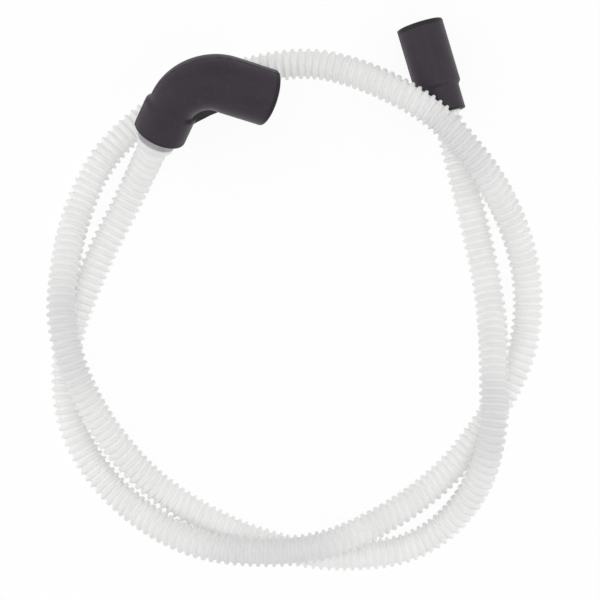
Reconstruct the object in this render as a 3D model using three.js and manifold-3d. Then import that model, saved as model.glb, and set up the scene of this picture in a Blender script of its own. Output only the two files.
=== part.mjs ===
// A dishwasher drain hose, lying in a loose coil of nearly two turns on a flat surface.
// A corrugated plastic hose carries a rubber elbow on one end and a straight rubber connector on the other.
// Millimetres, +Z up, the origin on the surface below the middle of the whole object.

import * as THREE from 'three';
import { mergeVertices } from 'three/addons/utils/BufferGeometryUtils.js';
import Module from 'manifold-3d';

const wasm = await Module();
wasm.setup();

// Hose: 21.5 mm over the ribs, with a 5/8 inch waterway
const hoseDiameter = 21.5;
const hoseBore = 16;
const hoseSides = 12;
const hoseSteps = 78;

// Smooth cuff moulded on the hose's elbow end
const cuffDiameter = 27.5;
const cuffWall = 1.45;
const cuffTaper = 4;
const cuffShowing = 9.7;
const cuffInCollar = 22.5;

// Clearance all round, and at the end, between the hose and the rubber that it is pushed into
const fit = 0.3;

// Elbow: a wide mouth, a quarter bend and a thick collar round the cuff
const mouthBore = 32;
const mouthWall = 4.2;
const mouthSocketDepth = 30;
const mouthStraight = 32.6;
const bendRadius = 29;
const waterwayAtMouth = 30;
const throatWall = 4.4;
const collarWall = 4.9;
const collarLength = 22.3;
const collarStep = 1;
const elbowRound = 1.2;
const elbowSides = 48;
const bendSteps = 12;

// Web moulded in the crook of the elbow: its thickness, and how far past both ends of the bend it reaches
const webThickness = 5;
const webAlongCollar = 8.3;
const webAlongMouth = 4.5;
const webRooted = 0.5;

// Where the elbow's mouth points: its heading from +X, and its dip below level, in degrees
const mouthHeading = -14.4;
const mouthDip = 21;

// Straight connector: a wide mouth for the drain's spigot and a narrower neck round the hose
const connectorBore = 24;
const connectorWall = 4.5;
const connectorSocketDepth = 39;
const connectorBodyLength = 48;
const neckWall = 3.4;
const neckSocketDepth = 24.3;
const stopThickness = 3;
const stopBore = 17;
const connectorRound = 1;
const connectorSides = 56;

// Small rounds are drawn with this many straight steps
const roundSteps = 3;
// Cutting solids run this far past the face that they open
const cutPast = 1;

// Middle line of the hose from the end of the cuff's taper to its far end inside the connector.
// It lies on the surface where its height is half the hose's diameter, and rises where it crosses itself.
const hoseRoute = [
  [-102, 103.6, 28.15],
  [-105.7, 96.9, 23.53],
  [-112.8, 83.7, 16.4],
  [-122, 65.9, 11.7],
  [-145, 19.4, 10.9],
  [-164.3, -38.1, 10.85],
  [-159.3, -96.7, 10.85],
  [-128.5, -142.5, 12.4],
  [-78, -173.3, 25.6],
  [-30, -180.7, 33.1],
  [18.3, -176.7, 33.2],
  [65.4, -157.7, 21.9],
  [107.4, -127.7, 12.1],
  [139.5, -86.6, 11.1],
  [161.8, -39.6, 10.8],
  [165.5, 7.4, 12.2],
  [152.5, 53.4, 21.8],
  [124.5, 97.1, 37.4],
  [89, 132.1, 40.1],
  [14, 163.9, 23.1],
  [-65.5, 150.4, 15.7],
  [-104.4, 130.2, 11.1],
  [-137.8, 98.2, 11.6],
  [-156, 60.4, 14.6],
  [-164.2, 18.9, 25.8],
  [-164.7, -21.1, 34],
  [-154, -60.1, 32.5],
  [-132.5, -100.6, 22],
  [-98.6, -138.5, 12.4],
  [-40.5, -172.2, 11],
  [17, -186.4, 10.9],
  [75, -182.5, 11.6],
  [105.5, -165.3, 15.2],
  [127.9, -134.2, 24.7],
  [138, -93.8, 33.9],
  [139.7, -50.6, 28.4],
  [138.5, -6.6, 15.8],
  [129.8, 40.9, 11.6],
  [109.5, 120.4, 16.6],
  [99.9, 152.8, 16.6],
];

// Sizes that follow from the ones above
const hoseRadius = hoseDiameter / 2;
const cuffRadius = cuffDiameter / 2;
const cuffBoreRadius = cuffRadius - cuffWall;
const cuffLength = cuffShowing + cuffInCollar;
const mouthRadius = mouthBore / 2 + mouthWall;
const throatRadius = cuffBoreRadius + throatWall;
const collarBoreRadius = cuffRadius + fit;
const collarRadius = collarBoreRadius + collarWall;
const collarSocketDepth = cuffInCollar + fit;
const collarStraight = collarStep + collarLength;
const neckBoreRadius = hoseRadius + fit;
const neckRadius = neckBoreRadius + neckWall;
const connectorRadius = connectorBore / 2 + connectorWall;
const connectorLength = connectorSocketDepth + stopThickness + neckSocketDepth;

// Turns a closed geometry into a solid that can be joined and cut
function solidOf(geometry) {
  const bare = geometry.clone();
  bare.deleteAttribute('normal');
  bare.deleteAttribute('uv');
  const merged = mergeVertices(bare, 1e-4);
  return new wasm.Manifold(new wasm.Mesh({
    numProp: 3,
    vertProperties: new Float32Array(merged.attributes.position.array),
    triVerts: new Uint32Array(merged.index.array),
  }));
}

// Turns a solid back into a geometry
function geometryOf(solid) {
  const mesh = solid.getMesh();
  const geometry = new THREE.BufferGeometry();
  geometry.setAttribute('position', new THREE.BufferAttribute(mesh.vertProperties, 3));
  geometry.setIndex(new THREE.BufferAttribute(mesh.triVerts, 1));
  geometry.computeVertexNormals();
  return geometry;
}

// Points of a quarter round at a corner, from one side of it to the other, as [radius, distance] pairs
function quarterRound(radius, distance, size, from, to) {
  const points = [];
  for (let i = 0; i <= roundSteps; i += 1) {
    const angle = THREE.MathUtils.lerp(from, to, i / roundSteps);
    points.push([radius + size * Math.cos(angle), distance + size * Math.sin(angle)]);
  }
  return points;
}

// Turned solid about the Y axis from [radius, height] pairs that start and end on the axis
function turned(profile, sides) {
  return new THREE.LatheGeometry(profile.map(([x, y]) => new THREE.Vector2(x, y)), sides);
}

// Regular polygon whose corners lie on the given radius
function polygon(radius, sides) {
  const corners = [];
  for (let i = 0; i < sides; i += 1) {
    const angle = (i + 0.5) * 2 * Math.PI / sides;
    corners.push(new THREE.Vector2(radius * Math.cos(angle), radius * Math.sin(angle)));
  }
  return new THREE.Shape(corners);
}

// The hose's middle line as one smooth curve
function routeCurve() {
  const curve = new THREE.CatmullRomCurve3(
    hoseRoute.map((point) => new THREE.Vector3(...point)), false, 'centripetal');
  curve.arcLengthDivisions = 4000;
  return curve;
}

// Unit vector from the second point of the route to the first, and from the last but one to the last
const routeEnds = hoseRoute.map((point) => new THREE.Vector3(...point));
const hoseStart = routeEnds[0];
const hoseEnd = routeEnds[routeEnds.length - 1];
const intoCollar = hoseStart.clone().sub(routeEnds[1]).normalize();
const intoConnector = hoseEnd.clone().sub(routeEnds[routeEnds.length - 2]).normalize();

// Solid swept along the hose's route with a plain round section
function sweptHose(radius) {
  return new THREE.ExtrudeGeometry(polygon(radius, hoseSides), {
    steps: hoseSteps,
    bevelEnabled: false,
    extrudePath: routeCurve(),
  });
}

// Moves a geometry that was turned about Y so that its Y axis runs along a direction from a point
function along(geometry, point, direction) {
  const turn = new THREE.Quaternion().setFromUnitVectors(new THREE.Vector3(0, 1, 0), direction);
  geometry.applyQuaternion(turn);
  geometry.translate(point.x, point.y, point.z);
  return geometry;
}

// The hose: a hollow tube along the route, with a straight smooth cuff on its elbow end
function hoseGeometry() {
  const wallMiddle = (hoseRadius + hoseBore / 2) / 2;
  const cuffOuter = turned([
    [0, -cutPast],
    [wallMiddle, -cutPast],
    [cuffRadius, cuffTaper],
    [cuffRadius, cuffTaper + cuffLength],
    [0, cuffTaper + cuffLength],
  ], elbowSides);
  const cuffInner = turned([
    [0, -cutPast],
    [hoseBore / 2, -cutPast],
    [cuffBoreRadius, cuffTaper],
    [cuffBoreRadius, cuffTaper + cuffLength + cutPast],
    [0, cuffTaper + cuffLength + cutPast],
  ], elbowSides);
  const farBore = turned([
    [0, -cutPast],
    [hoseBore / 2, -cutPast],
    [hoseBore / 2, cutPast],
    [0, cutPast],
  ], hoseSides);
  const outer = solidOf(sweptHose(hoseRadius)).add(solidOf(along(cuffOuter, hoseStart, intoCollar)));
  const inner = solidOf(sweptHose(hoseBore / 2))
    .add(solidOf(along(cuffInner, hoseStart, intoCollar)))
    .add(solidOf(along(farBore, hoseEnd, intoConnector)));
  return geometryOf(outer.subtract(inner));
}

// Solid swept from the elbow's mouth face, round the quarter bend and out along the collar's axis.
// The axes meet at the origin, the mouth faces +X and the collar faces -Z.
// The outline is a list of [radius, distance along the middle line from the mouth face] pairs.
function sweptElbow(outline) {
  const bendLength = bendRadius * Math.PI / 2;
  const corners = [];
  for (const [radius, distance] of outline) {
    const past = distance - mouthStraight;
    const turn = THREE.MathUtils.clamp(past / bendRadius, 0, Math.PI / 2);
    const straight = past - THREE.MathUtils.clamp(past, 0, bendLength);
    const outward = new THREE.Vector3(-Math.sin(turn), 0, Math.cos(turn));
    const onward = new THREE.Vector3(-Math.cos(turn), 0, -Math.sin(turn));
    const centre = new THREE.Vector3(bendRadius, 0, -bendRadius)
      .addScaledVector(outward, bendRadius)
      .addScaledVector(onward, straight);
    for (let side = 0; side < elbowSides; side += 1) {
      const angle = side * 2 * Math.PI / elbowSides;
      corners.push(centre.clone()
        .addScaledVector(outward, radius * Math.cos(angle))
        .add(new THREE.Vector3(0, radius * Math.sin(angle), 0)));
    }
  }
  return ringsToSolid(corners, outline.length);
}

// Closed geometry through rings of corners, each ring in its own plane, with a flat cap on both ends
function ringsToSolid(corners, ringCount) {
  const faces = [];
  const last = (ringCount - 1) * elbowSides;
  for (let side = 0; side < elbowSides; side += 1) {
    const next = (side + 1) % elbowSides;
    for (let ring = 0; ring < last; ring += elbowSides) {
      faces.push(ring + side, ring + next, ring + elbowSides + next);
      faces.push(ring + side, ring + elbowSides + next, ring + elbowSides + side);
    }
    if (side > 0 && next > 0) {
      faces.push(0, next, side);
      faces.push(last, last + side, last + next);
    }
  }
  const geometry = new THREE.BufferGeometry().setFromPoints(corners);
  geometry.setIndex(faces);
  return geometry;
}

// Radii round the bend, going evenly from one to the other, as [radius, distance] pairs
function roundBend(fromRadius, toRadius) {
  const points = [];
  for (let i = 0; i <= bendSteps; i += 1) {
    const share = i / bendSteps;
    points.push([
      THREE.MathUtils.lerp(fromRadius, toRadius, share),
      mouthStraight + share * bendRadius * Math.PI / 2,
    ]);
  }
  return points;
}

// The web in the plane of the bend, from the collar across the crook to the mouth's straight part
function elbowWeb() {
  const outline = new THREE.Shape([
    new THREE.Vector2(collarRadius - webRooted, -bendRadius - webAlongCollar),
    new THREE.Vector2(bendRadius + webAlongMouth, webRooted - mouthRadius),
    new THREE.Vector2(bendRadius, -mouthBore / 4),
    new THREE.Vector2(collarBoreRadius / 2, -bendRadius),
  ]);
  const web = new THREE.ExtrudeGeometry(outline, { depth: webThickness, bevelEnabled: false });
  web.rotateX(Math.PI / 2);
  web.translate(0, webThickness / 2, 0);
  return web;
}

// The rubber elbow, open from its mouth to its collar
function elbowGeometry() {
  const bendEnd = mouthStraight + bendRadius * Math.PI / 2;
  const collarFace = bendEnd + collarStraight;
  const outer = sweptElbow([
    ...quarterRound(mouthRadius - elbowRound, elbowRound, elbowRound, -Math.PI / 2, 0),
    ...roundBend(mouthRadius, throatRadius),
    [collarRadius - elbowRound, bendEnd + collarStep / 2],
    [collarRadius, bendEnd + collarStep + elbowRound / 2],
    ...quarterRound(collarRadius - elbowRound, collarFace - elbowRound, elbowRound, 0, Math.PI / 2),
  ]);
  const inner = sweptElbow([
    [mouthBore / 2, -cutPast],
    [mouthBore / 2, mouthSocketDepth],
    [waterwayAtMouth / 2, mouthSocketDepth],
    ...roundBend(waterwayAtMouth / 2, cuffBoreRadius),
    [cuffBoreRadius, collarFace - collarSocketDepth],
    [collarBoreRadius, collarFace - collarSocketDepth],
    [collarBoreRadius, collarFace + cutPast],
  ]);
  return geometryOf(solidOf(outer).add(solidOf(elbowWeb())).subtract(solidOf(inner)));
}

// The straight connector about +Y, from its neck face at the origin to its mouth face
function connectorGeometry() {
  const shoulder = connectorLength - connectorBodyLength;
  return turned([
    [stopBore / 2, neckSocketDepth],
    [neckBoreRadius, neckSocketDepth],
    [neckBoreRadius, 0],
    ...quarterRound(neckRadius - connectorRound, connectorRound, connectorRound, -Math.PI / 2, 0),
    [neckRadius, shoulder],
    ...quarterRound(connectorRadius - connectorRound, shoulder + connectorRound, connectorRound, -Math.PI / 2, 0),
    ...quarterRound(connectorRadius - connectorRound, connectorLength - connectorRound, connectorRound, 0, Math.PI / 2),
    [connectorBore / 2, connectorLength],
    [connectorBore / 2, connectorLength - connectorSocketDepth],
    [stopBore / 2, connectorLength - connectorSocketDepth],
    [stopBore / 2, neckSocketDepth],
  ], connectorSides);
}

// Milky natural polypropylene and black rubber
const hosePlastic = new THREE.MeshStandardMaterial({ color: 0xe9eae8, roughness: 0.4, metalness: 0 });
const elbowRubber = new THREE.MeshStandardMaterial({ color: 0x403b40, roughness: 0.7, metalness: 0 });
const connectorRubber = new THREE.MeshStandardMaterial({ color: 0x423d42, roughness: 0.7, metalness: 0 });

function named(name, geometry, material) {
  const mesh = new THREE.Mesh(geometry, material);
  mesh.name = name;
  return mesh;
}

// The elbow sits on the cuff, in line with the start of the route, turned so that its mouth points as set
function placedElbow() {
  const heading = THREE.MathUtils.degToRad(mouthHeading);
  const dip = THREE.MathUtils.degToRad(mouthDip);
  const mouthWay = new THREE.Vector3(
    Math.cos(dip) * Math.cos(heading), Math.cos(dip) * Math.sin(heading), -Math.sin(dip));
  mouthWay.addScaledVector(intoCollar, -mouthWay.dot(intoCollar)).normalize();
  const sideways = intoCollar.clone().cross(mouthWay);
  const collarReach = bendRadius + collarStraight;
  const stand = new THREE.Group();
  stand.setRotationFromMatrix(new THREE.Matrix4().makeBasis(mouthWay, sideways, intoCollar));
  stand.position.copy(hoseStart).addScaledVector(intoCollar, cuffTaper + cuffShowing + collarReach);
  stand.add(named('rubber_elbow', elbowGeometry(), elbowRubber));
  return stand;
}

// The connector's neck closes round the far end of the hose
function placedConnector() {
  const stand = new THREE.Group();
  stand.quaternion.setFromUnitVectors(new THREE.Vector3(0, 1, 0), intoConnector);
  stand.position.copy(hoseEnd).addScaledVector(intoConnector, fit - neckSocketDepth);
  stand.add(named('straight_connector', connectorGeometry(), connectorRubber));
  return stand;
}

const drainHose = new THREE.Group();
drainHose.add(named('corrugated_hose', hoseGeometry(), hosePlastic));
drainHose.add(placedElbow());
drainHose.add(placedConnector());

export default drainHose;
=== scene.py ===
# %% [markdown]
# A dishwasher drain hose, seen from straight above.
# The real thing is a corrugated plastic hose nearly two metres long. It lies in a loose coil of almost
# two turns, with a black rubber elbow on one end and a straight black rubber connector on the other.
# The CAD model gives the frame: every piece below is made in metres, in the same frame, and stands for
# one CAD node. First the frame is loaded.

# %% Load the frame
import math

import bmesh
import bpy
from mathutils import Matrix, Vector


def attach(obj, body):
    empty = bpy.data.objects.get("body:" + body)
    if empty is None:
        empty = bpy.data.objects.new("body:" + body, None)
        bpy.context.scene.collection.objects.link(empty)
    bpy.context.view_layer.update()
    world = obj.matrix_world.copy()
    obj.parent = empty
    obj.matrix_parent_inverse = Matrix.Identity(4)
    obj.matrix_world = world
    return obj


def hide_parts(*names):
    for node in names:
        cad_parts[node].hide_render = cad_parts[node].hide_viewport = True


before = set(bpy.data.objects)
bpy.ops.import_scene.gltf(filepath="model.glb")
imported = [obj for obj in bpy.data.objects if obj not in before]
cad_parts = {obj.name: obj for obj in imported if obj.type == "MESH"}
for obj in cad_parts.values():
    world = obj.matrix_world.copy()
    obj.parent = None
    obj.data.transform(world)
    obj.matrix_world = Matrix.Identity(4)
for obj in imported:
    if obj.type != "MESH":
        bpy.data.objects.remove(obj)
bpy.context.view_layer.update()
print("CAD nodes:", sorted(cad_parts))

# %% [markdown]
# The camera hangs straight above the coil, as in a catalogue picture. A fairly long lens keeps the
# perspective weak, so that hose lying high and hose lying low keep nearly the same width.
# Looking straight down needs no turn at all: an unturned camera looks along -Z with +Y up.

# %% Camera
camera_height = 1.208
camera_offset = (0.0025, -0.0036)

camera_data = bpy.data.cameras.new("overhead_camera")
camera_data.sensor_width = 36
camera_data.lens = 100
camera = bpy.data.objects.new("overhead_camera", camera_data)
camera.location = (camera_offset[0], camera_offset[1], camera_height)
bpy.context.scene.collection.objects.link(camera)
bpy.context.scene.camera = camera
print("Camera height:", camera_height, "m, lens:", camera_data.lens, "mm")

# %% [markdown]
# The hose is one fixed length of springy pipe. It starts in the elbow's collar, comes down to the
# surface, and goes round almost twice, passing over itself in long low humps, until it ends in the
# connector. These are the points of its middle line, the same that the CAD model uses. Height above
# the surface is half the hose's width where it lies flat, and more where it crosses itself.

# %% The hose's middle line
route = [
    (-0.1020, 0.1036, 0.02815),
    (-0.1057, 0.0969, 0.02353),
    (-0.1128, 0.0837, 0.0164),
    (-0.1220, 0.0659, 0.0117),
    (-0.1450, 0.0194, 0.0109),
    (-0.1643, -0.0381, 0.01085),
    (-0.1593, -0.0967, 0.01085),
    (-0.1285, -0.1425, 0.0124),
    (-0.0780, -0.1733, 0.0256),
    (-0.0300, -0.1807, 0.0331),
    (0.0183, -0.1767, 0.0332),
    (0.0654, -0.1577, 0.0219),
    (0.1074, -0.1277, 0.0121),
    (0.1395, -0.0866, 0.0111),
    (0.1618, -0.0396, 0.0108),
    (0.1655, 0.0074, 0.0122),
    (0.1525, 0.0534, 0.0218),
    (0.1245, 0.0971, 0.0374),
    (0.0890, 0.1321, 0.0401),
    (0.0140, 0.1639, 0.0231),
    (-0.0655, 0.1504, 0.0157),
    (-0.1044, 0.1302, 0.0111),
    (-0.1378, 0.0982, 0.0116),
    (-0.1560, 0.0604, 0.0146),
    (-0.1642, 0.0189, 0.0258),
    (-0.1647, -0.0211, 0.0340),
    (-0.1540, -0.0601, 0.0325),
    (-0.1325, -0.1006, 0.0220),
    (-0.0986, -0.1385, 0.0124),
    (-0.0405, -0.1722, 0.0110),
    (0.0170, -0.1864, 0.0109),
    (0.0750, -0.1825, 0.0116),
    (0.1055, -0.1653, 0.0152),
    (0.1279, -0.1342, 0.0247),
    (0.1380, -0.0938, 0.0339),
    (0.1397, -0.0506, 0.0284),
    (0.1385, -0.0066, 0.0158),
    (0.1298, 0.0409, 0.0116),
    (0.1095, 0.1204, 0.0166),
    (0.0999, 0.1528, 0.0166),
]
route = [Vector(point) for point in route]
print("Route points:", len(route))

# %% [markdown]
# A smooth curve through given points is called a spline. The CAD model uses the centripetal
# Catmull-Rom kind, which never overshoots between points that are unevenly spaced, so the same rule is
# written out here. Each span is a cubic set by its two ends and by a tangent at each of them.

# %% A smooth curve through the points
steps_per_span = 60


def centripetal_curve(points, steps):
    ends = [2 * points[0] - points[1], *points, 2 * points[-1] - points[-2]]
    line = []
    for p0, p1, p2, p3 in zip(ends, ends[1:], ends[2:], ends[3:]):
        d0 = math.sqrt((p1 - p0).length)
        d1 = math.sqrt((p2 - p1).length)
        d2 = math.sqrt((p3 - p2).length)
        start_tangent = ((p1 - p0) / d0 - (p2 - p0) / (d0 + d1) + (p2 - p1) / d1) * d1
        end_tangent = ((p2 - p1) / d1 - (p3 - p1) / (d1 + d2) + (p3 - p2) / d2) * d1
        for step in range(steps):
            w = step / steps
            square = -3 * p1 + 3 * p2 - 2 * start_tangent - end_tangent
            cube = 2 * p1 - 2 * p2 + start_tangent + end_tangent
            line.append(p1 + start_tangent * w + square * w * w + cube * w * w * w)
    line.append(points[-1].copy())
    return line


def line_length(line):
    return sum((b - a).length for a, b in zip(line, line[1:]))


coil_line = centripetal_curve(route, steps_per_span)
print("Coil from the cuff to the connector:", round(line_length(coil_line), 4), "m")

# %% [markdown]
# The hose's elbow end is a smooth cuff, moulded wider than the ribs so that the rubber grips it. It is
# straight: its middle line runs on from the first point of the route, out of the coil and up into the
# collar. Most of it is hidden in the rubber.

# %% The straight cuff ahead of the coil
cuff_taper = 0.004
cuff_showing = 0.0097
cuff_in_collar = 0.0225
cuff_straight = cuff_showing + cuff_in_collar
cuff_length = cuff_taper + cuff_straight
cuff_steps = 18

into_collar = (route[0] - route[1]).normalized()
into_connector = (route[-1] - route[-2]).normalized()
collar_face = route[0] + into_collar * (cuff_taper + cuff_showing)
cuff_line = [
    route[0] + into_collar * cuff_length * (1 - step / cuff_steps) for step in range(cuff_steps)
]
hose_line = cuff_line + coil_line
hose_length = line_length(hose_line)
print("Whole hose:", round(hose_length, 4), "m in", len(hose_line), "points")
print("It leaves the collar at", [round(x, 4) for x in collar_face])

# %% [markdown]
# Effects that more than one finish needs are built once, as shader node groups. The small helpers here
# make a group with named sockets, read a mask that a mesh carries as an attribute, and turn a colour as
# it is picked on a screen into the linear values that shaders work with.

# %% Helpers for shader groups


def from_screen(red, green, blue):
    def linear(value):
        share = value / 255
        return share / 12.92 if share <= 0.04045 else ((share + 0.055) / 1.055) ** 2.4
    return (linear(red), linear(green), linear(blue), 1.0)


def shader_group(name, inputs, outputs):
    group = bpy.data.node_groups.new(name, "ShaderNodeTree")
    for socket_name, value in inputs.items():
        socket = group.interface.new_socket(socket_name, in_out="INPUT", socket_type="NodeSocketFloat")
        socket.default_value = value
    for socket_name in outputs:
        group.interface.new_socket(socket_name, in_out="OUTPUT", socket_type="NodeSocketFloat")
    return group, group.nodes.new("NodeGroupInput"), group.nodes.new("NodeGroupOutput")


def map_range(tree, source, low, high, to_low, to_high, smooth=True):
    node = tree.nodes.new("ShaderNodeMapRange")
    node.interpolation_type = "SMOOTHSTEP" if smooth else "LINEAR"
    tree.links.new(source, node.inputs["Value"])
    for socket_name, value in (
        ("From Min", low), ("From Max", high), ("To Min", to_low), ("To Max", to_high),
    ):
        if isinstance(value, (int, float)):
            node.inputs[socket_name].default_value = value
        else:
            tree.links.new(value, node.inputs[socket_name])
    return node.outputs["Result"]


def math_node(tree, operation, first, second):
    node = tree.nodes.new("ShaderNodeMath")
    node.operation = operation
    for socket, value in zip(node.inputs, (first, second)):
        if isinstance(value, (int, float)):
            socket.default_value = value
        else:
            tree.links.new(value, socket)
    return node.outputs["Value"]


def mesh_mask(tree, name):
    node = tree.nodes.new("ShaderNodeAttribute")
    node.attribute_name = name
    return node.outputs["Fac"]


print("Mid grey 128 on screen is", round(from_screen(128, 128, 128)[0], 3), "linear")

# %% [markdown]
# Moulded plastic and rubber are never perfectly even. Grain is the fine tooth of the surface, which
# breaks up highlights. Mottle is a slow drift of tone, from flow in the mould and from handling.
# Both are noise on the object's own coordinates, so they stay in place from every side.

# %% Shader group: grain and mottle
grain_group, grain_in, grain_out = shader_group(
    "grain_and_mottle", {"Grain scale": 2500.0, "Mottle scale": 60.0}, ["Grain", "Mottle"]
)
grain_place = grain_group.nodes.new("ShaderNodeTexCoord")
for output_name, input_name, detail in (("Grain", "Grain scale", 3.0), ("Mottle", "Mottle scale", 4.0)):
    noise = grain_group.nodes.new("ShaderNodeTexNoise")
    noise.inputs["Detail"].default_value = detail
    grain_group.links.new(grain_place.outputs["Object"], noise.inputs["Vector"])
    grain_group.links.new(grain_in.outputs[input_name], noise.inputs["Scale"])
    spread = map_range(grain_group, noise.outputs["Fac"], 0.3, 0.7, 0.0, 1.0)
    grain_group.links.new(spread, grain_out.inputs[output_name])
print("Group made:", grain_group.name)

# %% [markdown]
# Rubber that has been handled shows pale scuffs where it stands out: on lips, steps and along the
# mould's parting line. A mask of those places comes with each mesh as an attribute called "proud", from
# 0 to 1. The group breaks it up with noise, so that the wear is patchy, and adds a thin bloom of dust.

# %% Shader group: scuffs and bloom
scuff_group, scuff_in, scuff_out = shader_group(
    "scuffs_and_bloom", {"Patch scale": 220.0, "Amount": 0.6, "Bloom": 0.3}, ["Scuff"]
)
scuff_place = scuff_group.nodes.new("ShaderNodeTexCoord")
patches = scuff_group.nodes.new("ShaderNodeTexNoise")
patches.inputs["Detail"].default_value = 5.0
scuff_group.links.new(scuff_place.outputs["Object"], patches.inputs["Vector"])
scuff_group.links.new(scuff_in.outputs["Patch scale"], patches.inputs["Scale"])
worn_patch = map_range(scuff_group, patches.outputs["Fac"], 0.40, 0.62, 0.0, 1.0)
dusty_patch = map_range(scuff_group, patches.outputs["Fac"], 0.55, 0.75, 0.0, 1.0)
worn = math_node(scuff_group, "MULTIPLY", mesh_mask(scuff_group, "proud"), worn_patch)
worn = math_node(scuff_group, "MULTIPLY", worn, scuff_in.outputs["Amount"])
dusty = math_node(scuff_group, "MULTIPLY", dusty_patch, scuff_in.outputs["Bloom"])
both = math_node(scuff_group, "MAXIMUM", worn, dusty)
scuff_group.links.new(both, scuff_out.inputs["Scuff"])
print("Group made:", scuff_group.name)

# %% [markdown]
# The hose is natural polypropylene: milky, nearly neutral in colour, with a soft satin shine. Light
# enters it and comes out again close by, which subsurface scattering does. The thin valleys also let
# some of the table's white through, and that light is painted into the colour: an attribute called
# "rib", 1 on a crest, mixes the lighter valley colour with the greyer crest colour. Another
# attribute is painted shade: 1 where the hose lies on another length of itself, where less white
# comes up through it, so it is painted greyer there. A third is the collar's shadow, painted on the
# cuff close to the collar. Slow clouds of a slightly darker tone lie over all of it.

# %% Material: milky plastic


def place_group(tree, group, **values):
    node = tree.nodes.new("ShaderNodeGroup")
    node.node_tree = group
    for socket_name, value in values.items():
        node.inputs[socket_name.replace("_", " ")].default_value = value
    return node


def mix_colours(tree, factor, first, second):
    node = tree.nodes.new("ShaderNodeMix")
    node.data_type = "RGBA"
    tree.links.new(factor, node.inputs[0])
    for socket, value in ((node.inputs[6], first), (node.inputs[7], second)):
        if isinstance(value, tuple):
            socket.default_value = value
        else:
            tree.links.new(value, socket)
    return node.outputs[2]


def bump_from(tree, height, distance, strength):
    node = tree.nodes.new("ShaderNodeBump")
    node.inputs["Distance"].default_value = distance
    node.inputs["Strength"].default_value = strength
    tree.links.new(height, node.inputs["Height"])
    return node.outputs["Normal"]


milky_plastic = bpy.data.materials.new("milky_plastic")
milky_plastic.use_nodes = True
plastic_tree = milky_plastic.node_tree
plastic = plastic_tree.nodes["Principled BSDF"]
plastic.inputs["Subsurface Weight"].default_value = 0.5
plastic.inputs["Subsurface Radius"].default_value = (1.0, 1.0, 1.0)
plastic.inputs["Subsurface Scale"].default_value = 0.0007
plastic.inputs["Specular IOR Level"].default_value = 0.35

plastic_grain = place_group(plastic_tree, grain_group, Grain_scale=3000.0, Mottle_scale=45.0)
# Painted light: the valleys are painted lighter and the crests greyer, for the table's white that comes
# through the thin valleys.
valley_open = from_screen(245, 245, 244)
crest_open = from_screen(237, 237, 236)
# Painted shade: greyer colours where the hose lies on another length of itself or is lifted off the
# table.
valley_overlap_shaded = from_screen(229, 229, 229)
crest_overlap_shaded = from_screen(221, 221, 222)
# Painted shadow: the collar's shadow on the cuff, in mid grey.
collar_shadow_colour = from_screen(158, 156, 158)
cloud = from_screen(229, 229, 227)
rib_mask = mesh_mask(plastic_tree, "rib")
open_colour = mix_colours(plastic_tree, rib_mask, valley_open, crest_open)
overlap_shaded_colour = mix_colours(plastic_tree, rib_mask, valley_overlap_shaded, crest_overlap_shaded)
# The painted shade is mixed in where one length lies on another.
hose_colour = mix_colours(plastic_tree, mesh_mask(plastic_tree, "painted_overlap_shade"), open_colour, overlap_shaded_colour)
# The collar's painted shadow is mixed in on the cuff.
hose_colour = mix_colours(plastic_tree, mesh_mask(plastic_tree, "painted_collar_shadow"), hose_colour, collar_shadow_colour)
clouding = map_range(plastic_tree, plastic_grain.outputs["Mottle"], 0.0, 1.0, 0.0, 0.3)
clouded = mix_colours(plastic_tree, clouding, hose_colour, cloud)
plastic_tree.links.new(clouded, plastic.inputs["Base Color"])
satin = map_range(plastic_tree, plastic_grain.outputs["Mottle"], 0.0, 1.0, 0.34, 0.46)
plastic_tree.links.new(satin, plastic.inputs["Roughness"])
plastic_normal = bump_from(plastic_tree, plastic_grain.outputs["Grain"], 0.00004, 0.5)
plastic_tree.links.new(plastic_normal, plastic.inputs["Normal"])
print("Material made:", milky_plastic.name)

# %% [markdown]
# Both rubber pieces are the same kind of charcoal rubber, the elbow a trace darker. A function makes
# them, with the grain and the scuffs placed at each one's own values. Shade is painted in: an attribute
# marks the trimmed lips, the bores and the web in the elbow's crook, which are painted nearly black for
# the shade on them.

# %% Material: charcoal rubber


def charcoal_rubber(name, dark, drift, scuffed, painted_shade, patch_scale):
    material = bpy.data.materials.new(name)
    material.use_nodes = True
    tree = material.node_tree
    rubber = tree.nodes["Principled BSDF"]
    rubber.inputs["Specular IOR Level"].default_value = 0.3
    grain = place_group(tree, grain_group, Grain_scale=1800.0, Mottle_scale=38.0)
    scuffs = place_group(tree, scuff_group, Patch_scale=patch_scale, Amount=0.5, Bloom=0.1)
    tone = mix_colours(tree, grain.outputs["Mottle"], dark, drift)
    handled = mix_colours(tree, scuffs.outputs["Scuff"], tone, scuffed)
    # Painted shade: the marked lips, bores and web take the nearly black colour.
    colour = mix_colours(tree, mesh_mask(tree, "painted_shade"), handled, painted_shade)
    tree.links.new(colour, rubber.inputs["Base Color"])
    sheen = map_range(tree, grain.outputs["Mottle"], 0.0, 1.0, 0.40, 0.54)
    tree.links.new(sheen, rubber.inputs["Roughness"])
    normal = bump_from(tree, grain.outputs["Grain"], 0.00008, 0.5)
    tree.links.new(normal, rubber.inputs["Normal"])
    return material


elbow_rubber = charcoal_rubber(
    "charcoal_rubber_elbow",
    dark=from_screen(40, 31, 41),
    drift=from_screen(47, 38, 48),
    scuffed=from_screen(96, 92, 97),
    painted_shade=from_screen(24, 20, 25),
    patch_scale=260.0,
)
connector_rubber = charcoal_rubber(
    "charcoal_rubber_connector",
    dark=from_screen(46, 39, 48),
    drift=from_screen(53, 46, 55),
    scuffed=from_screen(94, 91, 96),
    painted_shade=from_screen(24, 21, 26),
    patch_scale=300.0,
)
print("Materials made:", elbow_rubber.name, connector_rubber.name)

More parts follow.
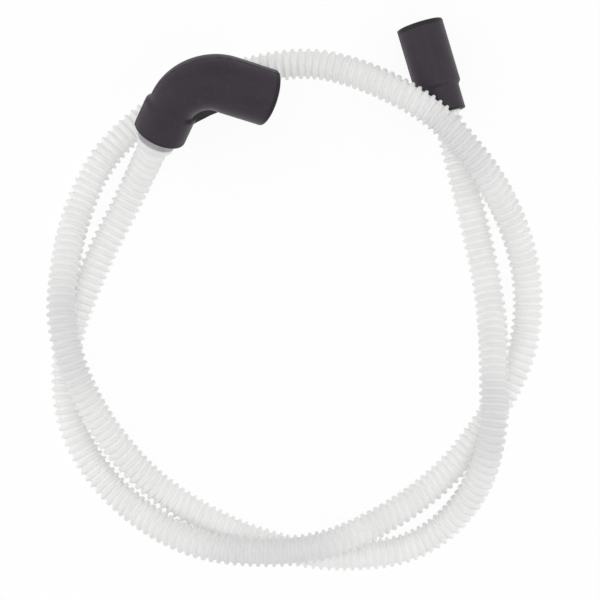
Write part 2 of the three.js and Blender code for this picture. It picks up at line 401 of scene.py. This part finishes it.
# %% [markdown]
# The corrugated hose is one rule repeated some 360 times: a rib, a valley, a rib. That is work for
# Geometry Nodes. The tree turns the middle line into a curve, sets eight rings on every rib, gives each
# ring its radius, and sweeps a circle through them. The rings are gathered on the rib itself, because
# the valley between two ribs is plain and needs none. A second, smooth sweep inside it, with its faces
# turned round, is the bore. Its sizes are named inputs, so that the same tree makes other hoses.

# %% Sizes of the hose
rib_pitch = 0.0054
rib_count = round(hose_length / rib_pitch)
hose_sizes = {
    "Rib count": rib_count,
    "Rib share of the pitch": 0.72,
    "Crest radius": 0.01075,
    "Valley radius": 0.0087,
    "Cuff radius": 0.01375,
    "Cuff straight length": cuff_straight,
    "Cuff taper length": cuff_taper,
    "Cuff hidden length": cuff_in_collar,
    "Cuff dimmed length": 0.0058,
    "Plain end length": 0.0235,
    "Plain end radius": 0.0105,
    "Bore radius": 0.008,
    "Cuff bore radius": 0.0123,
    "Sides": 32,
    "Bore sides": 16,
    "Bore rings": 240,
}
print("Ribs:", rib_count, "at a pitch of", round(hose_length / rib_count * 1000, 3), "mm")

# %% [markdown]
# The tree itself. A ring's number says where it sits: the whole part of number / 8 is its rib, and the
# rest is its place on that rib. One more ring at each end of the line stays where it is. Distance along
# the hose then decides the radius: ribs, or the plain cuff at the elbow, or the plain end that is
# hidden in the connector.

# %% Node tree of the hose
RINGS_PER_RIB = 8
hose_tree = bpy.data.node_groups.new("corrugated_pipe", "GeometryNodeTree")
hose_tree.interface.new_socket("Middle line", in_out="INPUT", socket_type="NodeSocketGeometry")
for size_name, size_value in hose_sizes.items():
    kind = "NodeSocketInt" if isinstance(size_value, int) else "NodeSocketFloat"
    hose_tree.interface.new_socket(size_name, in_out="INPUT", socket_type=kind)
hose_tree.interface.new_socket("Plastic", in_out="INPUT", socket_type="NodeSocketMaterial")
hose_tree.interface.new_socket("Hose", in_out="OUTPUT", socket_type="NodeSocketGeometry")
sizes_in = hose_tree.nodes.new("NodeGroupInput")
hose_out = hose_tree.nodes.new("NodeGroupOutput")


def hose_math(operation, first, second=0.0):
    return math_node(hose_tree, operation, first, second)


def size(name):
    return sizes_in.outputs[name]


def hose_node(kind, links=(), **settings):
    node = hose_tree.nodes.new(kind)
    for setting, value in settings.items():
        setattr(node, setting, value)
    for socket_name, source in dict(links).items():
        hose_tree.links.new(source, node.inputs[socket_name])
    return node


middle_curve = hose_node("GeometryNodeMeshToCurve", {"Mesh": size("Middle line")}).outputs["Curve"]
whole_length = hose_node("GeometryNodeCurveLength", {"Curve": middle_curve}).outputs["Length"]
pitch = hose_math("DIVIDE", whole_length, size("Rib count"))

ring_total = hose_math("MULTIPLY", size("Rib count"), float(RINGS_PER_RIB))
ring_total = hose_math("ADD", ring_total, 2.0)
ring_curve = hose_node(
    "GeometryNodeResampleCurve", {"Curve": middle_curve, "Count": ring_total}, mode="COUNT"
).outputs["Curve"]

ring_number = hose_math("SUBTRACT", hose_node("GeometryNodeInputIndex").outputs["Index"], 1.0)
rib_number = hose_math("FLOOR", hose_math("DIVIDE", ring_number, float(RINGS_PER_RIB)))
rings_before = hose_math("MULTIPLY", rib_number, float(RINGS_PER_RIB))
ring_on_rib = hose_math("SUBTRACT", ring_number, rings_before)
ring_middle = hose_math("DIVIDE", hose_math("ADD", ring_on_rib, 0.5), float(RINGS_PER_RIB))
across_rib = hose_math("SUBTRACT", ring_middle, 0.5)
gathered = hose_math("MULTIPLY", across_rib, size("Rib share of the pitch"))
ring_place = hose_math("ADD", hose_math("ADD", rib_number, 0.5), gathered)
along_hose = hose_math("MULTIPLY", ring_place, pitch)

ring_spot = hose_node(
    "GeometryNodeSampleCurve", {"Curves": middle_curve, "Length": along_hose}, mode="LENGTH"
)
ends = hose_node("GeometryNodeCurveEndpointSelection").outputs["Selection"]
not_ends = hose_node("FunctionNodeBooleanMath", operation="NOT")
hose_tree.links.new(ends, not_ends.inputs[0])
rings = hose_node(
    "GeometryNodeSetPosition",
    {
        "Geometry": ring_curve,
        "Selection": not_ends.outputs[0],
        "Position": ring_spot.outputs["Position"],
    },
).outputs["Geometry"]
print("Rings are placed:", RINGS_PER_RIB, "on each rib")

# %% [markdown]
# The radius of each ring. The middle third of a rib is its blunt crest, from which the radius falls
# to the valley on both sides, in a soft curve that rounds the foot as well as the shoulder.
# The cuff and the plain end override the ribs where they are. Two masks for the material are stored on
# the rings too: how near the crest a ring is, for the painted light of the valleys, and how much of the
# collar's painted shadow lies on the cuff. That is all of it close to the collar, and a trace of it on
# the rest of the cuff.

# %% Radius along the hose
crest_half = 0.16
foot_half = 0.5 - 0.5 / RINGS_PER_RIB
plain_end_taper = 0.001
collar_shadow_fade = 0.0016
collar_shadow_on_cuff = 0.15


def between(share, first, second):
    return map_range(hose_tree, share, 0.0, 1.0, first, second, smooth=False)


from_crest = hose_math("ABSOLUTE", across_rib)
rib_height = map_range(hose_tree, from_crest, crest_half, foot_half, 1.0, 0.0)
ribbed_radius = between(rib_height, size("Valley radius"), size("Crest radius"))

taper_end = hose_math("ADD", size("Cuff straight length"), size("Cuff taper length"))
on_cuff = map_range(hose_tree, along_hose, size("Cuff straight length"), taper_end, 1.0, 0.0)
plain_start = hose_math("SUBTRACT", whole_length, size("Plain end length"))
plain_full = hose_math("ADD", plain_start, plain_end_taper)
on_plain_end = map_range(hose_tree, along_hose, plain_start, plain_full, 0.0, 1.0)

outer_radius = between(on_cuff, ribbed_radius, size("Cuff radius"))
outer_radius = between(on_plain_end, outer_radius, size("Plain end radius"))

bare = hose_math("MAXIMUM", on_cuff, on_plain_end)
rib_shown = hose_math("MULTIPLY", rib_height, hose_math("SUBTRACT", 1.0, bare))
collar_shadow_end = hose_math("ADD", size("Cuff hidden length"), size("Cuff dimmed length"))
collar_shadow_past = hose_math("ADD", collar_shadow_end, collar_shadow_fade)
by_collar = map_range(hose_tree, along_hose, collar_shadow_end, collar_shadow_past, 1.0, 0.0)
# Painted shadow of the collar: full close to it, a trace on the rest of the cuff.
collar_shadow = hose_math("MAXIMUM", by_collar, hose_math("MULTIPLY", on_cuff, collar_shadow_on_cuff))
marked_rings = rings
for mark, mark_value in (("rib", rib_shown), ("painted_collar_shadow", collar_shadow)):
    storing = hose_node(
        "GeometryNodeStoreNamedAttribute", {"Geometry": marked_rings, "Value": mark_value},
        data_type="FLOAT", domain="POINT",
    )
    storing.inputs["Name"].default_value = mark
    marked_rings = storing.outputs["Geometry"]
print("Radius on the ribs:", hose_sizes["Valley radius"], "to", hose_sizes["Crest radius"], "m")

# %% [markdown]
# Two sweeps and their join. The outer skin follows the rings, and the bore follows its own, fewer
# rings. The bore's faces are flipped, because the outside of that wall is the side that water runs on.
# The tree ends in Realize Instances and Set Material, so that what comes out is one plain mesh.

# %% Sweeps of the hose


def swept(curve, sides, radius):
    circle = hose_node("GeometryNodeCurvePrimitiveCircle", {"Resolution": sides}, mode="RADIUS")
    circle.inputs["Radius"].default_value = 1.0
    sweep = hose_node(
        "GeometryNodeCurveToMesh",
        {"Curve": curve, "Profile Curve": circle.outputs["Curve"], "Scale": radius},
    )
    return sweep.outputs["Mesh"]


outer_skin = swept(marked_rings, size("Sides"), outer_radius)

bore_curve = hose_node(
    "GeometryNodeResampleCurve", {"Curve": middle_curve, "Count": size("Bore rings")}, mode="COUNT"
).outputs["Curve"]
along_bore = hose_node("GeometryNodeSplineParameter").outputs["Length"]
bore_in_cuff = map_range(
    hose_tree, along_bore, size("Cuff straight length"), taper_end, 1.0, 0.0, smooth=False
)
bore_radius = between(bore_in_cuff, size("Bore radius"), size("Cuff bore radius"))
bore_skin = hose_node(
    "GeometryNodeFlipFaces", {"Mesh": swept(bore_curve, size("Bore sides"), bore_radius)}
).outputs["Mesh"]

both_skins = hose_node("GeometryNodeJoinGeometry")
hose_tree.links.new(outer_skin, both_skins.inputs["Geometry"])
hose_tree.links.new(bore_skin, both_skins.inputs["Geometry"])
smooth_skins = hose_node("GeometryNodeSetShadeSmooth", {"Geometry": both_skins.outputs["Geometry"]})
real_skins = hose_node("GeometryNodeRealizeInstances", {"Geometry": smooth_skins.outputs["Geometry"]})
coloured = hose_node(
    "GeometryNodeSetMaterial",
    {"Geometry": real_skins.outputs["Geometry"], "Material": size("Plastic")},
)
hose_tree.links.new(coloured.outputs["Geometry"], hose_out.inputs["Hose"])
print("Tree has", len(hose_tree.nodes), "nodes")

# %% [markdown]
# Painted shade: where one length lies on another, less of the table's white comes up through it, so
# the plastic is painted greyer. A point of the middle line gets the full painted shade where a lower
# length runs right under it, and less as the two part, seen from above, until they lie clear of each
# other. Where the hose is only lifted well off the table, it gets a quarter of the painted shade. The
# shares are found at every eighth point, and the points between take a blend.

# %% Painted shade where one length lies on another
same_length = 0.05
lower_by = 0.008
clear_apart = 0.023
overlap_shade_fade = 0.017
lifted_above = 0.013
lifted_fade = 0.011
lifted_shade_share = 0.25
find_every = 8
compare_every = 4

line_along = [0.0]
for before, after in zip(hose_line, hose_line[1:]):
    line_along.append(line_along[-1] + (after - before).length)


def overlap_shade_share_at(number):
    point = hose_line[number]
    nearest = 1.0
    for other in range(0, len(hose_line), compare_every):
        apart = abs(line_along[other] - line_along[number])
        below = point.z - hose_line[other].z
        if apart > same_length and below > lower_by:
            nearest = min(nearest, (hose_line[other].xy - point.xy).length)
    over = min(1.0, max(0.0, (clear_apart - nearest) / overlap_shade_fade))
    lifted = min(1.0, max(0.0, (point.z - lifted_above) / lifted_fade))
    return max(over * over * (3 - 2 * over), lifted_shade_share * lifted)


found_shares = [overlap_shade_share_at(number) for number in range(0, len(hose_line), find_every)]
overlap_shade_shares = []
for number in range(len(hose_line)):
    first = min(number // find_every, len(found_shares) - 1)
    second = min(first + 1, len(found_shares) - 1)
    part = (number % find_every) / find_every
    overlap_shade_shares.append(found_shares[first] * (1 - part) + found_shares[second] * part)
print("Share of the line that is backed:", round(sum(overlap_shade_shares) / len(overlap_shade_shares), 2))

# %% [markdown]
# A mesh of points and edges carries the middle line and the shares of painted shade, and the tree works
# on it as a modifier. Its inputs are set by each socket's identifier before anything is evaluated. The
# result is read back as a plain mesh, and then the two skins are joined at both ends by a narrow ring
# of faces, so that the hose's wall is closed.

# %% Make the corrugated hose
end_reach = 0.03


def linked_object(name, mesh):
    made = bpy.data.objects.new(name, mesh)
    bpy.context.scene.collection.objects.link(made)
    return made


line_mesh = bpy.data.meshes.new("hose_middle_line")
line_mesh.from_pydata(hose_line, [(i, i + 1) for i in range(len(hose_line) - 1)], [])
line_mesh.attributes.new("painted_overlap_shade", "FLOAT", "POINT").data.foreach_set("value", overlap_shade_shares)
line_object = linked_object("hose_middle_line", line_mesh)
pipe_modifier = line_object.modifiers.new("corrugated_pipe", "NODES")
pipe_modifier.node_group = hose_tree
socket_ids = {item.name: item.identifier for item in hose_tree.interface.items_tree}
for size_name, size_value in hose_sizes.items():
    pipe_modifier[socket_ids[size_name]] = size_value
pipe_modifier[socket_ids["Plastic"]] = milky_plastic

depsgraph = bpy.context.evaluated_depsgraph_get()
hose_mesh = bpy.data.meshes.new_from_object(line_object.evaluated_get(depsgraph))
hose_mesh.name = "hose_skin"
bpy.data.objects.remove(line_object)


def close_wall_ends(mesh, end_points):
    work = bmesh.new()
    work.from_mesh(mesh)
    for end_point in end_points:
        rim_edges = [
            edge for edge in work.edges
            if edge.is_boundary and (edge.verts[0].co - end_point).length < end_reach
        ]
        bmesh.ops.bridge_loops(work, edges=rim_edges)
    open_edges = sum(edge.is_boundary for edge in work.edges)
    work.to_mesh(mesh)
    work.free()
    return open_edges


left_open = close_wall_ends(hose_mesh, (hose_line[0], hose_line[-1]))
hose = linked_object("ribbed_hose", hose_mesh)
hose_triangles = sum(len(face.vertices) - 2 for face in hose_mesh.polygons)
print("Hose triangles:", hose_triangles, "open edges:", left_open)

# %% [markdown]
# Both rubber pieces are bodies of revolution, one straight and one led round a bend. Their outline is a
# closed list of corners: out along the outside, over the lip, and back along the inside. Each corner
# has a radius, a distance along the middle line, and how proud it stands, for the scuffs. Rounds are
# drawn as short arcs between two directions.

# %% Outlines with rounded corners
round_proud = 0.2
step_proud = 0.15
sharp_edge = math.radians(40)


def arc(radius, distance, bend, from_degrees, to_degrees, steps=6):
    corners = []
    for step in range(steps + 1):
        angle = math.radians(from_degrees + (to_degrees - from_degrees) * step / steps)
        out, along = bend * math.cos(angle), bend * math.sin(angle)
        corners.append((radius + out, distance + along, round_proud))
    return corners


def straight_run(start, end, steps):
    corners = []
    for step in range(1, steps):
        share = step / steps
        radius = start[0] + (end[0] - start[0]) * share
        corners.append((radius, start[1] + (end[1] - start[1]) * share, 0.0))
    return corners


def soft_step(low_radius, start, high_radius, end, steps=8):
    corners = []
    for step in range(steps + 1):
        share = step / steps
        radius = low_radius + (high_radius - low_radius) * share * share * (3 - 2 * share)
        corners.append((radius, start + (end - start) * share, step_proud))
    return corners


def ring_skin(name, rings, masks, material):
    sides = len(rings[0])
    points = [point for ring in rings for point in ring]
    faces = []
    for number in range(len(rings)):
        following = (number + 1) % len(rings)
        for side in range(sides):
            beside = (side + 1) % sides
            faces.append((
                number * sides + side,
                number * sides + beside,
                following * sides + beside,
                following * sides + side,
            ))
    mesh = bpy.data.meshes.new(name)
    mesh.from_pydata(points, [], faces)
    for mask_name, values_of_ring in masks.items():
        mask = mesh.attributes.new(mask_name, "FLOAT", "POINT")
        mask.data.foreach_set("value", [value for values in values_of_ring for value in values])
    mesh.materials.append(material)
    work = bmesh.new()
    work.from_mesh(mesh)
    bmesh.ops.recalc_face_normals(work, faces=work.faces)
    for face in work.faces:
        face.smooth = True
    for edge in work.edges:
        edge.smooth = edge.calc_face_angle(0.0) < sharp_edge
    work.to_mesh(mesh)
    work.free()
    return linked_object(name, mesh)


print("A quarter round of 6 steps has", len(arc(0.01, 0, 0.001, 0, 90)), "corners")

# %% [markdown]
# A rubber elbow is moulded in two halves, so a thin raised line runs round it where the halves met: in
# the plane of the bend, over its back and through its crook. The rings therefore have extra corners
# there, and the outside stands up a third of a millimetre on them. Every ring has the same corners, at
# angles that give the line its width on a middling radius.

# %% Corners round a ring, with the parting line
parting_height = 0.00035
parting_half_width = 0.0006
middling_radius = 0.018
parting_offsets = (0.0, 0.0003, 0.0006, 0.0012, 0.0019, 0.0023, 0.0026, 0.0031, 0.0038)
even_corners = 28


def parting_share(angle):
    from_line = abs(math.remainder(angle, math.pi))
    return max(0.0, 1 - from_line * middling_radius / parting_half_width)


rubber_angles = []
for middle in (0.0, math.pi):
    rubber_angles.extend(middle + offset / middling_radius for offset in parting_offsets)
    first = middle + parting_offsets[-1] / middling_radius
    last = middle + math.pi - parting_offsets[-1] / middling_radius
    even_step = (last - first) / even_corners
    rubber_angles.extend(first + even_step * step for step in range(1, even_corners))
    rubber_angles.extend(
        middle + math.pi - offset / middling_radius for offset in parting_offsets[:0:-1]
    )
parting_shares = [parting_share(angle) for angle in rubber_angles]
print("Corners in a ring:", len(rubber_angles))

# %% [markdown]
# The elbow: a wide mouth that takes the drain's spigot, a quarter bend in which the waterway narrows,
# and a thick collar that grips the cuff. A corner of its outline is led along the middle line, first
# straight from the mouth, then round the bend, then straight through the collar. Two corners close
# together end the band of painted shade at each lip.

# %% Sizes and outline of the elbow
mouth_radius = 0.0202
mouth_bore_radius = 0.016
mouth_socket_depth = 0.030
mouth_straight = 0.0326
bend_radius = 0.029
waterway_at_mouth = 0.015
throat_radius = 0.0167
collar_radius = 0.01895
collar_bore_radius = 0.01405
collar_waterway = 0.0123
collar_step = 0.001
collar_length = 0.0223
collar_socket_depth = 0.0228
elbow_round = 0.0012
small_round = 0.0004
shoulder_before = 0.0010
shoulder_after = 0.0026
lip_band = 0.0031
lip_band_fade = 0.0005
narrow_band = 0.0014
narrow_band_fade = 0.0004
band_allowance = 1.001
mouth_steps = 18
bend_steps = 28
collar_steps = 16

bend_length = bend_radius * math.pi / 2
bend_end = mouth_straight + bend_length
elbow_face = bend_end + collar_step + collar_length
socket_floor = elbow_face - collar_socket_depth
bend_shoulder = bend_end - shoulder_before
collar_shoulder = bend_end + shoulder_after
mouth_band_end = lip_band + lip_band_fade
collar_band_start = elbow_face - narrow_band - narrow_band_fade

elbow_outside = (
    arc(mouth_radius - elbow_round, elbow_round, elbow_round, -90, 0)
    + [(mouth_radius, lip_band, 0.0), (mouth_radius, mouth_band_end, 0.0)]
    + straight_run((mouth_radius, mouth_band_end), (mouth_radius, mouth_straight), mouth_steps)
    + straight_run((mouth_radius, mouth_straight), (throat_radius, bend_shoulder), bend_steps)
    + soft_step(throat_radius, bend_shoulder, collar_radius, collar_shoulder)
    + straight_run((collar_radius, collar_shoulder), (collar_radius, collar_band_start), collar_steps)
    + [(collar_radius, collar_band_start, 0.0), (collar_radius, elbow_face - narrow_band, 0.0)]
    + arc(collar_radius - elbow_round, elbow_face - elbow_round, elbow_round, 0, 90)
)
elbow_inside = (
    arc(collar_bore_radius + small_round, elbow_face - small_round, small_round, 90, 180, steps=3)
    + [(collar_bore_radius, socket_floor, 0.0), (collar_waterway, socket_floor, 0.0)]
    + straight_run((collar_waterway, bend_end), (waterway_at_mouth, mouth_straight), bend_steps)
    + [(waterway_at_mouth, mouth_socket_depth, 0.0), (mouth_bore_radius, mouth_socket_depth, 0.0)]
    + arc(mouth_bore_radius + small_round, small_round, small_round, 180, 270, steps=3)
)


def lip_share(distance, first_band, last_end, last_band):
    into = min(distance / first_band, (last_end - distance) / last_band)
    return 1.0 if into < band_allowance else 0.0


print("Corners outside and inside:", len(elbow_outside), len(elbow_inside))

# %% [markdown]
# A web of rubber fills the crook of the elbow, in the plane of the bend. Its free edge is a straight
# line from the collar to the mouth's tube, and it is five millimetres thick, with a soft edge and
# fillets at its root. On each ring the corners on that side are pulled out to the edge's line: all the
# way in the web's middle, and less to its sides, as its profile says.

# %% Web in the crook
web_half = 0.0025
web_blend = 0.0008
web_profile = (
    (0.0012, 1.0), (0.0019, 0.97), (web_half - 0.0001, 0.8), (web_half, 0.35),
    (0.0031, 0.10), (0.0038, 0.02), (0.0046, 0.0),
)
web_along_collar = 0.0083
web_along_mouth = 0.0045
web_rooted = 0.0005
nearly_level = 1e-6

web_start = Vector((collar_radius - web_rooted, 0, -bend_radius - web_along_collar))
web_end = Vector((bend_radius + web_along_mouth, 0, web_rooted - mouth_radius))
web_line = (web_end - web_start).normalized()
web_across = Vector((-web_line.z, 0, web_line.x))


def web_reach(centre, way):
    facing = way.dot(web_across)
    if abs(facing) < nearly_level:
        return 0.0
    return max(0.0, (web_start - centre).dot(web_across) / facing)


def web_share(aside):
    share = 1.0
    for (near, high), (far, low) in zip(web_profile, web_profile[1:]):
        if aside > near:
            along = min(1.0, (aside - near) / (far - near))
            share = high + (low - high) * along
    return share


print("The web's free edge is", round((web_end - web_start).length * 1000, 1), "mm long")

# %% [markdown]
# The elbow's place comes from the hose, as in the CAD model: its collar is in line with the cuff, and
# its mouth points to the right and a little down. A matrix of three unit vectors and a point takes
# the outline there, so the finished object itself stays at the origin.

# %% Make the elbow
mouth_heading = math.radians(-14.4)
mouth_dip = math.radians(21)

mouth_way = Vector((
    math.cos(mouth_dip) * math.cos(mouth_heading),
    math.cos(mouth_dip) * math.sin(mouth_heading),
    -math.sin(mouth_dip),
))
mouth_way = (mouth_way - into_collar * mouth_way.dot(into_collar)).normalized()
elbow_side = into_collar.cross(mouth_way)
elbow_corner = collar_face + into_collar * (bend_radius + collar_step + collar_length)
elbow_turn = Matrix((mouth_way, elbow_side, into_collar)).transposed().to_4x4()
elbow_place = Matrix.Translation(elbow_corner) @ elbow_turn


def elbow_ring(radius, distance, raised):
    """Gives a ring's corners, and how much of each belongs to the web."""
    past = distance - mouth_straight
    turn = min(max(past / bend_radius, 0.0), math.pi / 2)
    beyond = past - min(max(past, 0.0), bend_length)
    outward = Vector((-math.sin(turn), 0, math.cos(turn)))
    onward = Vector((-math.cos(turn), 0, -math.sin(turn)))
    centre = Vector((bend_radius, 0, -bend_radius)) + outward * bend_radius + onward * beyond
    to_edge = web_reach(centre, -outward) if raised else 0.0
    ring = []
    on_web = []
    for angle, parting in zip(rubber_angles, parting_shares):
        reach = radius + raised * parting_height * parting
        across = reach * math.cos(angle)
        aside = reach * math.sin(angle)
        pulled = 0.0
        if across < 0:
            pulled = max(0.0, to_edge + across) * web_share(abs(aside))
        on_web.append(min(1.0, pulled / web_blend))
        ring.append(elbow_place @ (centre + outward * (across - pulled) + Vector((0, aside, 0))))
    return ring, on_web


elbow_rings = []
elbow_masks = {"proud": [], "painted_shade": []}
for radius, distance, proud in elbow_outside:
    ring, on_web = elbow_ring(radius, distance, 1.0)
    on_lip = lip_share(distance, lip_band, elbow_face, narrow_band)
    elbow_rings.append(ring)
    # The lips and the web get painted shade.
    elbow_masks["painted_shade"].append([max(on_lip, share) for share in on_web])
    elbow_masks["proud"].append([max(proud, parting) for parting in parting_shares])
for radius, distance, _ in elbow_inside:
    elbow_rings.append(elbow_ring(radius, distance, 0.0)[0])
    # The bores get painted shade all over.
    elbow_masks["painted_shade"].append([1.0] * len(rubber_angles))
    elbow_masks["proud"].append([0.0] * len(rubber_angles))
elbow = ring_skin("moulded_elbow", elbow_rings, elbow_masks, elbow_rubber)
print("Elbow faces:", len(elbow.data.polygons))

# %% [markdown]
# The straight connector is turned about one axis: a wide mouth for the drain's spigot, a stop inside
# it, and a narrower neck that closes round the end of the hose. It has the same parting line, along
# both its sides.

# %% Make the connector
connector_radius = 0.0165
connector_bore_radius = 0.012
connector_length = 0.0663
connector_body = 0.048
connector_socket_depth = 0.039
neck_radius = 0.01445
neck_bore_radius = 0.01105
neck_socket_depth = 0.0243
stop_bore_radius = 0.0085
connector_round = 0.001
neck_steps = 6
body_steps = 12
fit = 0.0003

shoulder = connector_length - connector_body
shoulder_start = shoulder - shoulder_before
shoulder_end = shoulder + shoulder_after
neck_band_end = narrow_band + narrow_band_fade
mouth_band_start = connector_length - lip_band - lip_band_fade
mouth_floor = connector_length - connector_socket_depth
rounded_from = connector_length - connector_round
rim = connector_length - small_round

connector_outside = (
    arc(neck_radius - connector_round, connector_round, connector_round, -90, 0)
    + [(neck_radius, narrow_band, 0.0), (neck_radius, neck_band_end, 0.0)]
    + straight_run((neck_radius, neck_band_end), (neck_radius, shoulder_start), neck_steps)
    + soft_step(neck_radius, shoulder_start, connector_radius, shoulder_end)
    + straight_run((connector_radius, shoulder_end), (connector_radius, mouth_band_start), body_steps)
    + [(connector_radius, mouth_band_start, 0.0), (connector_radius, connector_length - lip_band, 0.0)]
    + arc(connector_radius - connector_round, rounded_from, connector_round, 0, 90)
)
connector_inside = (
    arc(connector_bore_radius + small_round, rim, small_round, 90, 180, steps=3)
    + [(connector_bore_radius, mouth_floor, 0.0), (stop_bore_radius, mouth_floor, 0.0)]
    + [(stop_bore_radius, neck_socket_depth, 0.0), (neck_bore_radius, neck_socket_depth, 0.0)]
    + arc(neck_bore_radius + small_round, small_round, small_round, 180, 270, steps=3)
)

connector_foot = route[-1] + into_connector * (fit - neck_socket_depth)
connector_turn = Vector((0, 1, 0)).rotation_difference(into_connector).to_matrix().to_4x4()
connector_place = Matrix.Translation(connector_foot) @ connector_turn


def connector_ring(radius, distance, raised):
    ring = []
    for angle, parting in zip(rubber_angles, parting_shares):
        reach = radius + raised * parting_height * parting
        corner = Vector((reach * math.cos(angle), distance, reach * math.sin(angle)))
        ring.append(connector_place @ corner)
    return ring


connector_rings = []
connector_masks = {"proud": [], "painted_shade": []}
for radius, distance, proud in connector_outside:
    on_lip = lip_share(distance, narrow_band, connector_length, lip_band)
    connector_rings.append(connector_ring(radius, distance, 1.0))
    # The connector's lips get painted shade.
    connector_masks["painted_shade"].append([on_lip] * len(rubber_angles))
    connector_masks["proud"].append([max(proud, parting) for parting in parting_shares])
for radius, distance, _ in connector_inside:
    connector_rings.append(connector_ring(radius, distance, 0.0))
    # The connector's bores get painted shade all over.
    connector_masks["painted_shade"].append([1.0] * len(rubber_angles))
    connector_masks["proud"].append([0.0] * len(rubber_angles))
connector = ring_skin("moulded_connector", connector_rings, connector_masks, connector_rubber)
print("Connector faces:", len(connector.data.polygons))

# %% [markdown]
# Each piece now rides on the root body, and the CAD node that it stands for is hidden. Each row also
# names the record's material slot.

for piece, node_name, slot_name in (
    (hose, "corrugated_hose", "hose_plastic"),
    (elbow, "rubber_elbow", "elbow_rubber"),
    (connector, "straight_connector", "connector_rubber"),
):
    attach(piece, "root")
    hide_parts(node_name)
    print(piece.name, "stands for", node_name)

# %% [markdown]
# The coil lies on a plain white table. The camera, and anything shiny, sees the table almost as white
# as paper, but part of what the camera sees is still the table's real surface, which keeps the soft
# shadow that the hose throws. Light Path tells the rays apart.

# %% Floor
floor_half = 4.0
floor_level = -0.0001
floor_white_share = 0.88

floor_mesh = bpy.data.meshes.new("table_top")
floor_corners = [
    (floor_half * right, floor_half * far, floor_level)
    for right, far in ((-1, -1), (1, -1), (1, 1), (-1, 1))
]
floor_mesh.from_pydata(floor_corners, [], [(0, 1, 2, 3)])
floor = linked_object("table_top", floor_mesh)
floor_material = bpy.data.materials.new("white_table")
floor_material.use_nodes = True
floor_tree = floor_material.node_tree
floor_surface = floor_tree.nodes["Principled BSDF"]
floor_surface.inputs["Base Color"].default_value = (0.95, 0.95, 0.95, 1.0)
floor_surface.inputs["Roughness"].default_value = 0.9
floor_surface.inputs["Specular IOR Level"].default_value = 0.0
floor_white = floor_tree.nodes.new("ShaderNodeEmission")
floor_white.inputs["Color"].default_value = (1.0, 1.0, 1.0, 1.0)
floor_white.inputs["Strength"].default_value = 1.0


def seen_directly(tree, share):
    rays = tree.nodes.new("ShaderNodeLightPath")
    seen = math_node(tree, "MAXIMUM", rays.outputs["Is Camera Ray"], rays.outputs["Is Glossy Ray"])
    seen = math_node(tree, "MAXIMUM", seen, rays.outputs["Is Transmission Ray"])
    return math_node(tree, "MULTIPLY", seen, share)


def mix_shaders(tree, share, first, second):
    node = tree.nodes.new("ShaderNodeMixShader")
    tree.links.new(share, node.inputs["Fac"])
    tree.links.new(first, node.inputs[1])
    tree.links.new(second, node.inputs[2])
    return node.outputs["Shader"]


floor_mix = mix_shaders(
    floor_tree, seen_directly(floor_tree, floor_white_share),
    floor_surface.outputs["BSDF"], floor_white.outputs["Emission"],
)
floor_tree.links.new(floor_mix, floor_tree.nodes["Material Output"].inputs["Surface"])
floor.data.materials.append(floor_material)
print("Floor is", 2 * floor_half, "m wide")

# %% [markdown]
# Plain soft studio light. The sky gives an even fill. Large soft boxes stand low at the left and the
# right, and a weak one in front, which is why the hose is brighter where it runs up and down the
# picture than where it runs across. Another, overhead, gives the rubber its form. At the left, at the
# right and overhead, two lamps share a place. The weaker one casts a shadow. The stronger one casts
# none, and neither does the front one, because milky plastic passes light on to what lies beside it.
# Each row gives a lamp's name, place, width and power, and whether it casts a shadow.

# %% Light
world = bpy.data.worlds.new("studio_world")
bpy.context.scene.world = world
world.use_nodes = True
world_tree = world.node_tree
fill = world_tree.nodes["Background"]
fill.inputs["Color"].default_value = (1.0, 1.0, 1.0, 1.0)
fill.inputs["Strength"].default_value = 0.61
backdrop_white = world_tree.nodes.new("ShaderNodeBackground")
backdrop_white.inputs["Color"].default_value = (1.0, 1.0, 1.0, 1.0)
backdrop_white.inputs["Strength"].default_value = 1.0
world_mix = mix_shaders(
    world_tree, seen_directly(world_tree, 1.0),
    fill.outputs["Background"], backdrop_white.outputs["Background"],
)
world_tree.links.new(world_mix, world_tree.nodes["World Output"].inputs["Surface"])

soft_boxes = (
    ("left_box", (-1.5, 0.0, 0.75), 1.2, 2.2, True),
    ("left_fill", (-1.5, 0.0, 0.75), 1.2, 4.9, False),
    ("right_box", (1.5, 0.0, 0.75), 1.2, 2.2, True),
    ("right_fill", (1.5, 0.0, 0.75), 1.2, 4.9, False),
    ("near_fill", (0.1, -1.6, 0.35), 0.9, 1.2, False),
    ("overhead_box", (0.0, 0.2, 2.2), 1.6, 3.2, True),
    ("overhead_fill", (0.0, 0.2, 2.2), 1.6, 10.6, False),
)
for box_name, place, width, power, casts_shadow in soft_boxes:
    lamp = bpy.data.lights.new(box_name, "AREA")
    lamp.shape = "SQUARE"
    lamp.size = width
    lamp.energy = power
    lamp.use_shadow = casts_shadow
    lamp_object = bpy.data.objects.new(box_name, lamp)
    lamp_object.location = place
    lamp_object.rotation_mode = "QUATERNION"
    lamp_object.rotation_quaternion = (-Vector(place)).to_track_quat("-Z", "Y")
    bpy.context.scene.collection.objects.link(lamp_object)
    print(box_name, power, "W")
bpy.context.scene.view_settings.view_transform = "Standard"

# %% Update the view layer
bpy.context.view_layer.update()
